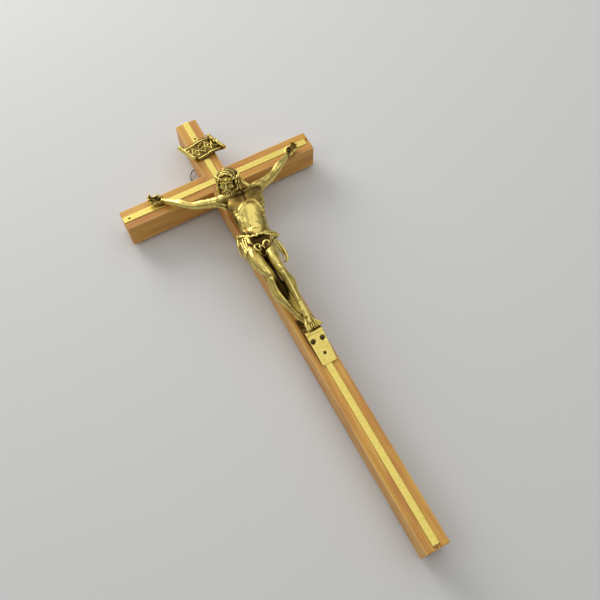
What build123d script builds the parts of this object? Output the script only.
from build123d import *
from math import radians, sqrt, tan
import os

# A wall crucifix: two lapped hardwood beams with brass strips let into their
# faces, a cast brass figure nailed to them, a scroll above it, a foot rest
# below it, and a wire ring stapled to the back to hang it by.
# Millimetres. The origin is on the back, at the middle of the crossing.
# X runs along the crossbar, Z up the upright, and the front looks along -Y.

# Beams
upright_length = 350
upright_above = 59
crossbar_length = 150
beam_width = 16.5
beam_thickness = 21
arris_radius = 0.7
lap_depth = 10.5
lap_fit = 0.05

# Brass strips in the faces of the beams
strip_width = 4.9
strip_thickness = 1.5
strip_arris = 0.35
strip_seam = 0.05
groove_depth = 1.0
groove_fit = 0.05
groove_bare_end = 2.6
bare_pin_inset = 1.4
crossbar_pin_inset = 4.6
upright_pin_height = 41.5

# Nails and pins
pilot_fit = 0.04
head_fit = 0.06
pin_shank = 0.45
pin_length = 7
pin_head = 0.95
pin_dome = 0.45
nail_shank = 0.6
nail_length = 13
nail_head = 1.5
nail_dome = 0.9
nail_point = 1.5
foot_nail_length = 24

# Scroll above the figure
scroll_foot = 21.3
scroll_height = 15.3
scroll_slant = 6.0
scroll_sheet = 0.9
scroll_trough_x = -7.6
scroll_rise_radius = 22
scroll_crest_radius = 14
scroll_wave_angle = 22
scroll_lip_radius = 7
scroll_lip_angle = 40
scroll_roll_radius = 1.6
scroll_roll_angle = 235
scroll_gap = 0.05
scroll_nail_x = 0.6
scroll_nail_height = 31.3
scroll_nail_seat = 2.8

# Foot rest
rest_x = 1.2
rest_top = -126
rest_lip = -140.8
rest_foot = -162.6
rest_rise = 7.2
rest_lip_height = 1.5
rest_lip_overhang = 0.9
rest_foot_rise = 1.2
rest_width = 12.0
rest_foot_width = 10.4
rest_channel_fit = 0.1
stud_spacing = 6.8
stud_drop = 4.4
stud_shank = 0.6
stud_length = 3.2
stud_head = 1.35
stud_dome = 0.8
stud_point = 0.5
stud_sink = 2.1
stud_sink_angle = 110
rest_nail_drop = 13.8
rest_nail_head = 1.1
rest_nail_sink = 0.5

# Cast figure
left_palm_x = -47.0
left_palm_z = 3.6
right_palm_x = 56.8
right_palm_z = -3.6
palm_rise = 2.4
palm_length = 6.6
palm_width = 6.2
palm_thickness = 3.0
palm_seat = 0.9
finger_length = 5.4
finger_radius = 0.85
finger_tip_radius = 0.6
finger_pitch = 1.45
palm_back_share = 0.83
palm_front_share = 0.77
knuckle_share = 0.3
finger_places = (-1.5, -0.5, 0.5, 1.5)
finger_curl = 0.35
finger_spread = 0.1
thumb_length = 4.6
thumb_reach = 0.7
thumb_curl = 0.4
tenon_radius = 1.5
tenon_length = 3.0
tenon_fit = 0.04
foot_nail_x = 0.9
foot_nail_z = -131.6
foot_nail_rise = 12.0
toe_length = 2.6
toe_radius = 0.75
toe_tip_radius = 0.68
toe_inset = 0.6
toe_pitch_parts = 5
under_foot_toes = 3
upper_foot_toes = 5

# Hanger
staple_height = 25.5
staple_wire = 1.2
staple_spread = 5.2
staple_bend = 1.0
staple_bite = 7.0
ring_wire = 1.3
ring_radius = 7.0
ring_gap = 0.35

# Places worked out from these sizes
front_face = -beam_thickness
strip_face = strip_thickness - groove_depth
upright_centre = upright_above - upright_length / 2
upright_foot = upright_above - upright_length
strip_foot = upright_foot + groove_bare_end
crossbar_half = crossbar_length / 2
groove_width = strip_width + 2 * groove_fit
pin_seat = strip_face
ring_plane = ring_gap + ring_wire / 2
crown_rise = ring_plane + ring_wire / 2 + ring_gap + staple_wire / 2
left_pin_x = crossbar_pin_inset - crossbar_half
bare_pin_z = upright_foot + bare_pin_inset


def in_front(x, z, rise):
    # A point that stands rise in front of the faces of the beams
    return Vector(x, front_face - rise, z)


def facing(x, z, rise):
    # A plane that looks out of the front of the cross
    return Plane(origin=in_front(x, z, rise), x_dir=(1, 0, 0), z_dir=(0, -1, 0))


def turned_nail(seat, shank, length, head, dome, point):
    # A round nail, its domed head on the seat plane and its shank behind it
    profile_plane = Plane(origin=seat.origin, x_dir=seat.x_dir, z_dir=-seat.y_dir)
    with BuildPart() as nail:
        with BuildSketch(profile_plane):
            with BuildLine():
                TangentArc((0, dome), (head, 0), tangent=(1, 0))
                Polyline((head, 0), (shank, 0), (shank, point - length), (0, -length), (0, dome))
            make_face()
        revolve(axis=Axis(seat.origin, seat.z_dir))
    return nail.part


# Where each nail's head sits
left_palm_seat = facing(left_palm_x, left_palm_z, palm_rise + palm_seat)
right_palm_seat = facing(right_palm_x, right_palm_z, palm_rise + palm_seat)
foot_seat = facing(foot_nail_x, foot_nail_z, foot_nail_rise)
scroll_seat = facing(scroll_nail_x, scroll_nail_height, scroll_nail_seat)
left_pin_seat = facing(left_pin_x, 0, pin_seat)
upright_pin_seat = facing(0, upright_pin_height, pin_seat)

# Sloping front of the foot rest, which carries the studs and the lower nail
rest_plate_top = rest_lip - rest_lip_height
rest_plate_rise = rest_rise - rest_lip_overhang
plate_top = in_front(rest_x, rest_plate_top, rest_plate_rise)
plate_foot = in_front(rest_x, rest_foot, rest_foot_rise)
plate_down = (plate_foot - plate_top).normalized()
plate_normal = plate_down.cross(Vector(1, 0, 0))


def on_plate(drop, across, sink):
    # A plane on the sloping plate, drop below its top and sink under its face
    origin = plate_top + plate_down * drop + Vector(across, 0, 0) - plate_normal * sink
    return Plane(origin=origin, x_dir=(1, 0, 0), z_dir=plate_normal)


rest_nail_level = on_plate(rest_nail_drop, 0, 0).origin
rest_nail_rise = front_face - rest_nail_level.Y - rest_nail_sink
rest_nail_seat = facing(rest_x, rest_nail_level.Z, rest_nail_rise)
rest_nail_length = rest_nail_rise + nail_length - palm_rise

# Shanks that pass through a strip or go into a beam
upright_shanks = [
    (foot_nail_x, foot_nail_z, nail_shank, foot_nail_length - foot_nail_rise),
    (scroll_nail_x, scroll_nail_height, nail_shank, nail_length - scroll_nail_seat),
    (rest_x, rest_nail_level.Z, nail_shank, rest_nail_length - rest_nail_rise),
    (0, upright_pin_height, pin_shank, pin_length - pin_seat),
]
crossbar_shanks = [
    (left_palm_x, left_palm_z, nail_shank, nail_length - palm_rise - palm_seat),
    (right_palm_x, right_palm_z, nail_shank, nail_length - palm_rise - palm_seat),
    (left_pin_x, 0, pin_shank, pin_length - pin_seat),
]

# Upright: grooved in front, and halved behind to take the crossbar
with BuildPart() as upright:
    with Locations((0, front_face / 2, upright_centre)):
        Box(beam_width, beam_thickness, upright_length)
    fillet(upright.edges(), arris_radius)
    with Locations((0, front_face + groove_depth / 2, upright_centre)):
        Box(groove_width, groove_depth, upright_length, mode=Mode.SUBTRACT)
    with Locations((0, front_face + groove_depth / 2, 0)):
        Box(beam_width, groove_depth, groove_width, mode=Mode.SUBTRACT)
    with Locations((0, -lap_depth / 2, 0)):
        Box(beam_width, lap_depth, beam_width + 2 * lap_fit, mode=Mode.SUBTRACT)
    for shank_x, shank_z, shank_radius, shank_depth in upright_shanks:
        with Locations(facing(shank_x, shank_z, 0)):
            Hole(shank_radius + pilot_fit, shank_depth + pilot_fit)
    with Locations(facing(0, bare_pin_z, 0)):
        Hole(pin_shank, pin_length)
    for leg_x in (-staple_spread / 2, staple_spread / 2):
        with Locations(Plane(origin=(leg_x, 0, staple_height), z_dir=(0, 1, 0))):
            Hole(staple_wire / 2 + pilot_fit, staple_bite + pilot_fit)

# Crossbar: halved in front, so that its back runs on behind the upright
with BuildPart() as crossbar:
    with Locations((0, front_face / 2, 0)):
        Box(crossbar_length, beam_thickness, beam_width)
    fillet(crossbar.edges(), arris_radius)
    with Locations((0, front_face + groove_depth / 2, 0)):
        Box(crossbar_length, groove_depth, groove_width, mode=Mode.SUBTRACT)
    notch_depth = beam_thickness - lap_depth
    with Locations((0, front_face + notch_depth / 2, 0)):
        Box(beam_width + 2 * lap_fit, notch_depth, beam_width, mode=Mode.SUBTRACT)
    for shank_x, shank_z, shank_radius, shank_depth in crossbar_shanks:
        with Locations(facing(shank_x, shank_z, 0)):
            Hole(shank_radius + pilot_fit, shank_depth + pilot_fit)

# Strip down the whole upright
strip_layer = front_face + groove_depth - strip_thickness / 2
with BuildPart() as upright_inlay:
    with Locations((0, strip_layer, (upright_above + strip_foot) / 2)):
        Box(strip_width, strip_thickness, upright_above - strip_foot)
    fillet(upright_inlay.edges().group_by(Axis.Y)[0], strip_arris)
    for shank_x, shank_z, shank_radius, shank_depth in upright_shanks:
        with Locations(facing(shank_x, shank_z, strip_face)):
            Hole(shank_radius + pilot_fit, strip_thickness)


def crossbar_strip(start, end, shanks):
    # One arm's strip, between two places along the crossbar
    with BuildPart() as strip:
        with Locations(((start + end) / 2, strip_layer, 0)):
            Box(end - start, strip_thickness, strip_width)
        fillet(strip.edges().group_by(Axis.Y)[0], strip_arris)
        for shank_x, shank_z, shank_radius, _ in shanks:
            with Locations(facing(shank_x, shank_z, strip_face)):
                Hole(shank_radius + pilot_fit, strip_thickness)
    return strip.part


inner_end = strip_width / 2 + strip_seam
crossbar_inlay_left = crossbar_strip(-crossbar_half, -inner_end, crossbar_shanks)
crossbar_inlay_right = crossbar_strip(inner_end, crossbar_half - groove_bare_end, crossbar_shanks)

# Pins that hold the strips
crossbar_inlay_pin = turned_nail(left_pin_seat, pin_shank, pin_length, pin_head, pin_dome, pin_shank)
upright_inlay_pin = turned_nail(upright_pin_seat, pin_shank, pin_length, pin_head, pin_dome, pin_shank)

# Scroll: a waved sheet with both ends rolled forward, cut on a slant
with BuildPart() as titulus:
    with BuildSketch(Plane.XY.offset(scroll_foot)):
        with BuildLine():
            trough_rise = strip_face + scroll_gap + scroll_sheet / 2
            trough = (scroll_trough_x + scroll_slant / 2, front_face - trough_rise)
            swell = JernArc(trough, (1, 0), scroll_rise_radius, -scroll_wave_angle)
            crest = JernArc(swell @ 1, swell % 1, scroll_crest_radius, 2 * scroll_wave_angle)
            JernArc(crest @ 1, crest % 1, scroll_roll_radius, -scroll_roll_angle)
            lip = JernArc(trough, (-1, 0), scroll_lip_radius, scroll_lip_angle)
            JernArc(lip @ 1, lip % 1, scroll_roll_radius, scroll_roll_angle)
            offset(amount=scroll_sheet / 2)
        make_face()
    slant_run = (scroll_slant**2 + scroll_height**2) ** 0.5
    extrude(amount=slant_run, dir=(-scroll_slant, 0, scroll_height))
    with Locations(scroll_seat):
        Hole(nail_shank + pilot_fit, beam_thickness)
    with Locations(facing(scroll_nail_x, scroll_nail_height, scroll_nail_seat + nail_head)):
        Hole(nail_head + head_fit, nail_head)
titulus_nail = turned_nail(scroll_seat, nail_shank, nail_length, nail_head, nail_dome, nail_point)

# Foot rest: a wedge-shaped console with a lip under the toes
with BuildPart() as foot_rest:
    with BuildSketch(Plane.YZ.offset(rest_x)):
        with BuildLine():
            Polyline(
                (front_face, rest_top),
                (front_face - rest_rise, rest_lip),
                (front_face - rest_rise, rest_plate_top),
                (front_face - rest_plate_rise, rest_plate_top),
                (front_face - rest_foot_rise, rest_foot),
                (front_face, rest_foot),
                close=True,
            )
        make_face()
    extrude(amount=rest_width / 2, both=True)
    with BuildSketch(Plane.XZ):
        with BuildLine():
            Polyline(
                (rest_x - rest_width / 2, rest_top),
                (rest_x + rest_width / 2, rest_top),
                (rest_x + rest_width / 2, rest_plate_top),
                (rest_x + rest_foot_width / 2, rest_foot),
                (rest_x - rest_foot_width / 2, rest_foot),
                (rest_x - rest_width / 2, rest_plate_top),
                close=True,
            )
        make_face()
    extrude(amount=2 * beam_thickness, mode=Mode.INTERSECT)
    channel_depth = strip_face + rest_channel_fit
    with Locations((0, front_face - channel_depth / 2, (rest_top + rest_foot) / 2)):
        Box(strip_width + 2 * rest_channel_fit, channel_depth, rest_top - rest_foot, mode=Mode.SUBTRACT)
    for side in (-1, 1):
        with Locations(on_plate(stud_drop, side * stud_spacing / 2, 0)):
            CounterSinkHole(stud_shank + pilot_fit, stud_sink, stud_length + stud_sink, stud_sink_angle)
    with Locations(foot_seat):
        Hole(nail_shank + pilot_fit, beam_thickness)
    with Locations(rest_nail_seat):
        Hole(nail_shank + pilot_fit, beam_thickness)
    with Locations(facing(rest_x, rest_nail_level.Z, rest_nail_rise + nail_head)):
        Hole(rest_nail_head + head_fit, nail_head)
foot_rest_nail = turned_nail(
    rest_nail_seat, nail_shank, rest_nail_length, rest_nail_head, rest_nail_sink, nail_point
)

# Studs in the countersinks, each head where the cone is as wide as itself
stud_depth = (stud_sink - stud_head) / tan(radians(stud_sink_angle / 2))
stud_seats = [on_plate(stud_drop, side * stud_spacing / 2, stud_depth) for side in (-1, 1)]
foot_rest_stud_left = turned_nail(stud_seats[0], stud_shank, stud_length, stud_head, stud_dome, stud_point)
foot_rest_stud_right = turned_nail(stud_seats[1], stud_shank, stud_length, stud_head, stud_dome, stud_point)

# Hanger: a wire staple in the back of the upright, and the ring that it holds
with BuildPart() as hanger_staple:
    with BuildLine() as staple_path:
        FilletPolyline(
            (-staple_spread / 2, -staple_bite, staple_height),
            (-staple_spread / 2, crown_rise, staple_height),
            (staple_spread / 2, crown_rise, staple_height),
            (staple_spread / 2, -staple_bite, staple_height),
            radius=staple_bend,
        )
    with BuildSketch(Plane(origin=staple_path.line @ 0, z_dir=staple_path.line % 0)):
        Circle(staple_wire / 2)
    sweep()

with BuildPart(Plane(origin=(-ring_radius, ring_plane, staple_height), z_dir=(0, 1, 0))) as hanging_ring:
    Torus(ring_radius, ring_wire / 2)

# Figure: limbs and trunk are lofted through ellipses, each of them given as
# place across, place up, rise in front of the beams, half width, half depth
trunk = [
    (6.2, -25.5, 11.6, 8.0, 4.8),
    (6.7, -32.5, 11.1, 12.6, 7.4),
    (5.4, -39.5, 11.0, 12.4, 8.4),
    (3.6, -46.5, 10.7, 11.0, 7.9),
    (1.8, -53.5, 10.0, 9.6, 6.8),
    (0.5, -60.5, 9.5, 10.2, 7.0),
    (-0.6, -67.5, 9.7, 10.8, 7.3),
    (-1.5, -74.5, 10.2, 10.2, 7.2),
]
neck = [
    (5.6, -31.0, 10.6, 6.0, 4.4),
    (4.1, -25.0, 12.2, 4.3, 4.0),
    (2.6, -19.0, 13.8, 4.0, 3.8),
]
left_shoulder = [
    (0.0, -26.0, 10.4, 4.8, 4.4),
    (-7.2, -24.2, 9.6, 4.4, 4.2),
]
left_arm = [
    (-14.6, -21.6, 8.4, 3.7, 3.5),
    (-20.6, -19.0, 7.5, 3.3, 3.1),
    (-26.6, -16.2, 6.6, 2.9, 2.8),
    (-31.4, -11.8, 5.9, 2.9, 2.7),
    (-36.0, -7.4, 5.0, 2.5, 2.3),
    (-40.6, -3.0, 3.9, 2.1, 1.9),
    (-45.2, 1.5, 2.7, 1.9, 1.5),
]
right_shoulder = [
    (13.4, -27.4, 10.4, 4.8, 4.4),
    (19.4, -25.6, 9.6, 4.4, 4.2),
]
right_arm = [
    (25.0, -23.6, 8.4, 3.7, 3.5),
    (30.5, -21.5, 7.4, 3.2, 3.0),
    (35.6, -18.9, 6.5, 2.9, 2.8),
    (40.4, -15.5, 5.7, 2.9, 2.6),
    (45.2, -12.1, 4.8, 2.5, 2.2),
    (50.0, -8.7, 3.7, 2.0, 1.8),
    (54.6, -5.4, 2.7, 1.8, 1.5),
]
left_leg = [
    (-5.4, -66.0, 9.6, 6.6, 6.4),
    (-6.7, -75.0, 11.7, 6.2, 6.0),
    (-8.0, -84.0, 14.7, 5.3, 5.2),
    (-8.6, -93.0, 17.1, 4.3, 4.3),
    (-8.1, -102.0, 15.0, 3.9, 3.9),
    (-6.5, -111.0, 11.9, 3.7, 3.7),
    (-4.4, -120.0, 9.6, 2.6, 2.6),
    (-2.2, -129.0, 6.9, 2.1, 2.1),
]
right_leg = [
    (5.0, -66.0, 9.6, 6.6, 6.4),
    (3.3, -75.0, 11.9, 6.2, 6.0),
    (0.8, -84.0, 15.1, 5.3, 5.2),
    (-0.6, -93.0, 17.5, 4.3, 4.3),
    (0.5, -102.0, 15.6, 3.9, 3.9),
    (2.3, -111.0, 12.9, 3.7, 3.7),
    (2.8, -120.0, 11.9, 2.6, 2.6),
    (2.1, -129.0, 10.3, 2.1, 2.1),
]
left_foot = [
    (-3.4, -124.6, 6.6, 2.5, 2.3),
    (-1.2, -128.8, 6.2, 3.0, 2.7),
    (1.2, -132.6, 6.2, 3.1, 2.3),
    (3.4, -136.2, 7.4, 3.2, 1.8),
    (5.2, -139.2, 8.4, 2.9, 1.2),
]
right_foot = [
    (2.8, -123.4, 9.6, 2.5, 2.3),
    (2.3, -127.6, 9.8, 3.0, 2.8),
    (1.9, -131.6, 10.0, 3.2, 2.5),
    (1.4, -135.6, 10.3, 3.5, 2.0),
    (1.0, -139.2, 10.4, 3.3, 1.3),
]
rounded_forms = [
    (-1.0, -33.6, 15.6, 5.6, 4.2, 2.9),
    (11.2, -35.0, 15.8, 5.6, 4.2, 2.9),
    (-8.7, -96.0, 19.6, 2.0, 2.6, 2.0),
    (-0.8, -96.4, 20.0, 2.0, 2.6, 2.0),
]

# Loincloth: a skirt trimmed to two slanting hems, its folds drawn to a knot
cloth = [
    (2.4, -49.0, 9.9, 10.4, 7.2),
    (1.2, -56.5, 9.8, 10.8, 7.8),
    (-0.2, -64.0, 10.0, 12.3, 8.7),
    (-1.4, -71.5, 10.8, 12.8, 9.0),
    (-2.8, -79.0, 12.4, 11.8, 8.5),
]
right_drape = [
    (11.0, -63.0, 9.8, 4.2, 3.4),
    (13.4, -71.0, 9.1, 3.8, 2.6),
    (12.6, -79.0, 8.0, 3.6, 2.2),
    (9.8, -86.5, 6.6, 2.6, 1.7),
]
left_drape = [
    (-10.6, -58.0, 9.6, 3.0, 3.0),
    (-13.2, -65.0, 9.2, 2.8, 2.4),
    (-14.0, -71.5, 8.6, 2.2, 1.8),
]
knot = [
    (0.4, -66.0, 17.0, 2.4, 2.0),
    (-1.4, -72.0, 19.0, 3.4, 2.6),
    (-2.8, -78.0, 20.0, 2.8, 2.0),
    (-3.6, -84.0, 19.6, 1.8, 1.2),
]
crotch = in_front(-2.5, -78.5, 0)
left_hem = Plane(origin=crotch, z_dir=(1.65, 0, 1))
right_hem = Plane(origin=crotch, z_dir=(-0.5, 0, 1))
fold_lines = [
    [(-9.4, -61.0), (-7.2, -67.0), (-3.2, -72.0)],
    [(-9.0, -64.6), (-6.8, -69.6), (-3.4, -74.0)],
    [(9.0, -68.2), (5.0, -70.0), (0.4, -72.4)],
    [(8.6, -71.4), (4.6, -73.2), (0.2, -75.2)],
]
fold_radius = 1.1
fold_sink = 0.3
waist_side_slope = 0.485
waist_front_slope = 0.45
waist_roll = Plane(
    origin=in_front(0.8, -61.6, 9.8),
    x_dir=(1, 0, -waist_side_slope),
    z_dir=(waist_side_slope, -waist_front_slope, 1),
)
waist_roll_width = 12.6
waist_roll_depth = 8.8
waist_roll_radius = 1.5

# Head, in its own frame: its face looks along -Y
head_place = in_front(0.6, -16.4, 15.6)
head_roll = 16
head_bow = 38
head_turn = 8
skull_half_width = 7.0
skull_crown = 9.2
skull_chin = -9.4
temple_level = 1.8
jaw_half_width = 4.8
jaw_level = -6.1
hair_half_width = 8.8
hair_widest = 1.0
hair_crown = 10.2
hair_foot_half_width = 7.2
hair_foot_heading = (-0.5, -1)
hair_shift = 1.5
hair_foot = -8.0
hairline = 4.6
face_half_width = 5.6
face_depth = 4.2
band_height = 4.6
band_radius = 7.8
band_thickness = 1.4
lock_line = [
    (7.0, 0.8, 4.0, 2.6),
    (8.2, 0.8, -3.0, 2.6),
    (8.6, 0.2, -9.0, 2.2),
    (7.6, -0.4, -14.0, 1.3),
]
beard = [
    (5.2, 3.6, -4.4, -3.4),
    (4.4, 3.4, -8.4, -4.6),
    (2.0, 1.7, -13.0, -5.2),
]
nose_root = (1.0, -6.3, 2.0)
nose_tip = (2.2, -8.3, -2.4)
nose_depth_share = 0.6


def path_planes(stations, across):
    # Planes square to a line of stations, their X kept close to across
    points = [in_front(*station[:3]) for station in stations]
    planes = []
    for index, point in enumerate(points):
        before = points[max(index - 1, 0)]
        after = points[min(index + 1, len(points) - 1)]
        along = (after - before).normalized()
        side = (across - along * across.dot(along)).normalized()
        planes.append(Plane(origin=point, x_dir=side, z_dir=along))
    return planes


def limb(stations, planes):
    # A loft through one ellipse for each station
    with BuildPart() as form:
        for station, plane in zip(stations, planes):
            with BuildSketch(plane):
                Ellipse(station[3], station[4])
        loft()
    return form.part


def upright_limb(stations):
    # A limb whose stations run more or less up the figure
    return limb(stations, path_planes(stations, Vector(1, 0, 0)))


def arm_planes(shoulder, arm):
    # Planes along a shoulder and on along its arm, parted at the joint
    planes = path_planes(shoulder + arm, Vector(0, 0, 1))
    return planes[: len(shoulder) + 1], planes[len(shoulder) :]


left_shoulder_planes, left_arm_planes = arm_planes(left_shoulder, left_arm)
right_shoulder_planes, right_arm_planes = arm_planes(right_shoulder, right_arm)


def dome(x, z, rise, half_width, half_height, half_depth):
    # A rounded form that stands out of the figure
    with BuildPart() as form:
        Sphere(1)
        scale(by=(half_width, half_depth, half_height))
    return form.part.moved(Location(in_front(x, z, rise)))


def cloth_rise(x, z):
    # How far the front of the cloth stands out at a place
    for upper, lower in zip(cloth, cloth[1:]):
        if lower[1] <= z <= upper[1]:
            share = (upper[1] - z) / (upper[1] - lower[1])
            middle, level, rise, width, depth = [a + (b - a) * share for a, b in zip(upper, lower)]
            return rise + depth * sqrt(1 - ((x - middle) / width) ** 2)


def fold(line):
    # A ridge of cloth along a line of places
    stations = [(x, z, cloth_rise(x, z) - fold_sink, fold_radius, fold_radius) for x, z in line]
    return upright_limb(stations)


def digit(start, direction, length, radius, tip_radius):
    # A finger or toe: a tapered stem with a round end
    direction = direction.normalized()
    with BuildPart() as form:
        with BuildSketch(Plane(origin=start, z_dir=direction)):
            Circle(radius)
        with BuildSketch(Plane(origin=start + direction * length, z_dir=direction)):
            Circle(tip_radius)
        loft()
        with Locations(start + direction * length):
            Sphere(tip_radius)
    return form.part


def open_hand(seat, wrist, thumb_side):
    # A palm about its nail, with four fingers and a thumb a little curled
    centre = seat.origin + Vector(0, palm_seat, 0)
    span = centre - wrist
    reach = Vector(span.X, 0, span.Z).normalized()
    side = Vector(0, -1, 0).cross(reach)
    palm_plane = Plane(origin=centre, x_dir=side, z_dir=(0, -1, 0))
    with BuildPart() as hand:
        with BuildSketch(palm_plane.offset(-palm_thickness / 2)):
            Ellipse(palm_width / 2 * palm_back_share, palm_length / 2 * palm_back_share)
        with BuildSketch(palm_plane):
            Ellipse(palm_width / 2, palm_length / 2)
        with BuildSketch(palm_plane.offset(palm_thickness / 2)):
            Ellipse(palm_width / 2 * palm_front_share, palm_length / 2 * palm_front_share)
        loft()
        for place in finger_places:
            knuckle = centre + reach * (palm_length * knuckle_share) + side * (place * finger_pitch)
            heading = reach + Vector(0, -finger_curl, 0) + side * (place * finger_spread)
            add(digit(knuckle, heading, finger_length, finger_radius, finger_tip_radius))
        heel = centre + side * (thumb_side * palm_width * knuckle_share)
        heading = reach * thumb_reach + side * thumb_side + Vector(0, -thumb_curl, 0)
        add(digit(heel, heading, thumb_length, finger_radius, finger_tip_radius))
    return hand.part


def cast_arm(stations, planes, seat, thumb_side):
    # An arm cast by itself, with a tenon for the shoulder and a hole for its nail
    wrist = planes[-1].origin
    with BuildPart() as arm:
        add(limb(stations, planes))
        add(open_hand(seat, wrist, thumb_side))
        with BuildSketch(planes[0]):
            Circle(tenon_radius)
        extrude(amount=-tenon_length)
        with Locations(seat):
            Hole(nail_shank + pilot_fit, beam_thickness)
        with Locations(seat.offset(2 * nail_head)):
            Hole(nail_head + head_fit, 2 * nail_head)
    return arm.part


corpus_arm_left = cast_arm(left_arm, left_arm_planes, left_palm_seat, -1)
corpus_arm_right = cast_arm(right_arm, right_arm_planes, right_palm_seat, 1)

# Head with hair, beard and a twisted band, face left plain
with BuildPart() as head:
    with BuildSketch(Plane.XZ):
        with BuildLine():
            Spline(
                (0, skull_crown),
                (skull_half_width, temple_level),
                (jaw_half_width, jaw_level),
                (0, skull_chin),
                tangents=((1, 0), (-1, 0)),
            )
            Line((0, skull_chin), (0, skull_crown))
        make_face()
    revolve(axis=Axis.Z)
    for half_width, half_depth, level, forward in beard:
        with BuildSketch(Plane(origin=(0, forward, level))):
            Ellipse(half_width, half_depth)
    loft()
    for half_width, forward, level in (nose_root, nose_tip):
        with BuildSketch(Plane(origin=(0, forward, level))):
            Ellipse(half_width, half_width * nose_depth_share)
    loft()
    with Locations((0, 0, band_height)):
        Torus(band_radius, band_thickness)
    for side in (-1, 1):
        for out, back, level, radius in lock_line:
            with BuildSketch(Plane(origin=(side * out, back, level))):
                Circle(radius)
        loft()

with BuildPart() as hair:
    with BuildSketch(Plane.XZ.offset(-hair_shift)):
        with BuildLine():
            Spline(
                (0, hair_crown),
                (hair_half_width, hair_widest),
                (hair_foot_half_width, hair_foot),
                tangents=((1, 0), hair_foot_heading),
            )
            Polyline((hair_foot_half_width, hair_foot), (0, hair_foot), (0, hair_crown))
        make_face()
    revolve(axis=Axis((0, hair_shift, 0), (0, 0, 1)))
    with Locations((0, -face_depth - hair_half_width / 2, hairline - hair_half_width)):
        Box(2 * face_half_width, hair_half_width, 2 * hair_half_width, mode=Mode.SUBTRACT)

head_tilt = Rotation(0, head_roll, 0) * Rotation(head_bow, 0, 0) * Rotation(0, 0, head_turn)
head_frame = Location(head_place) * head_tilt

# Cloth trimmed at the waist and at its hems, with its folds
with BuildPart() as loincloth:
    add(upright_limb(cloth))
    split(bisect_by=waist_roll, keep=Keep.BOTTOM)
    split(bisect_by=left_hem, keep=Keep.TOP)
    split(bisect_by=right_hem, keep=Keep.TOP)
    for line in fold_lines:
        add(fold(line))

# Rolled edge of the cloth about the waist
with BuildPart() as waist_band:
    with BuildLine(waist_roll) as waist_line:
        EllipticalCenterArc((0, 0), waist_roll_width, waist_roll_depth, arc_size=360)
    with BuildSketch(Plane(origin=waist_line.line @ 0, z_dir=waist_line.line % 0)):
        Circle(waist_roll_radius)
    sweep()


def toes(foot, count):
    # A row of toes that carries on from the last ellipse of a foot
    plane = path_planes(foot, Vector(1, 0, 0))[-1]
    half_width = foot[-1][3] - toe_inset
    pitch = 2 * half_width / toe_pitch_parts
    with BuildPart() as row:
        for index in range(count):
            across = half_width - index * pitch
            start = plane.origin + plane.x_dir * across - plane.z_dir * toe_radius
            add(digit(start, plane.z_dir, toe_length, toe_radius, toe_tip_radius))
    return row.part


# Body: trunk, head, cloth, legs and crossed feet in one casting
with BuildPart() as corpus_body:
    add(upright_limb(trunk))
    add(upright_limb(neck))
    add(limb(left_shoulder + left_arm[:1], left_shoulder_planes))
    add(limb(right_shoulder + right_arm[:1], right_shoulder_planes))
    add(upright_limb(left_leg))
    add(upright_limb(right_leg))
    add(upright_limb(left_foot))
    add(upright_limb(right_foot))
    for form in rounded_forms:
        add(dome(*form))
    add(loincloth.part)
    add(upright_limb(right_drape))
    add(upright_limb(left_drape))
    add(upright_limb(knot))
    add(head.part.moved(head_frame))
    add(hair.part.moved(head_frame))
    add(waist_band.part)
    add(toes(left_foot, under_foot_toes))
    add(toes(right_foot, upper_foot_toes))
    for planes in (left_arm_planes, right_arm_planes):
        with Locations(planes[0]):
            Hole(tenon_radius + tenon_fit, tenon_length + tenon_fit)
    with Locations(foot_seat):
        Hole(nail_shank + pilot_fit, beam_thickness)
    with Locations(foot_seat.offset(2 * nail_head)):
        Hole(nail_head + head_fit, 2 * nail_head)

# Nails through the hands and feet
hand_nail_left = turned_nail(left_palm_seat, nail_shank, nail_length, nail_head, nail_dome, nail_point)
hand_nail_right = turned_nail(right_palm_seat, nail_shank, nail_length, nail_head, nail_dome, nail_point)
foot_nail = turned_nail(foot_seat, nail_shank, foot_nail_length, nail_head, nail_dome, nail_point)

pieces = {
    "upright": upright.part,
    "crossbar": crossbar.part,
    "upright_inlay": upright_inlay.part,
    "crossbar_inlay_left": crossbar_inlay_left,
    "crossbar_inlay_right": crossbar_inlay_right,
    "crossbar_inlay_pin": crossbar_inlay_pin,
    "upright_inlay_pin": upright_inlay_pin,
    "titulus": titulus.part,
    "titulus_nail": titulus_nail,
    "corpus_body": corpus_body.part,
    "corpus_arm_left": corpus_arm_left,
    "corpus_arm_right": corpus_arm_right,
    "hand_nail_left": hand_nail_left,
    "hand_nail_right": hand_nail_right,
    "foot_nail": foot_nail,
    "foot_rest": foot_rest.part,
    "foot_rest_stud_left": foot_rest_stud_left,
    "foot_rest_stud_right": foot_rest_stud_right,
    "foot_rest_nail": foot_rest_nail,
    "hanger_staple": hanger_staple.part,
    "hanging_ring": hanging_ring.part,
}
os.makedirs("parts", exist_ok=True)
for name, piece in pieces.items():
    piece.label = name
    export_step(piece, f"parts/{name}.step")
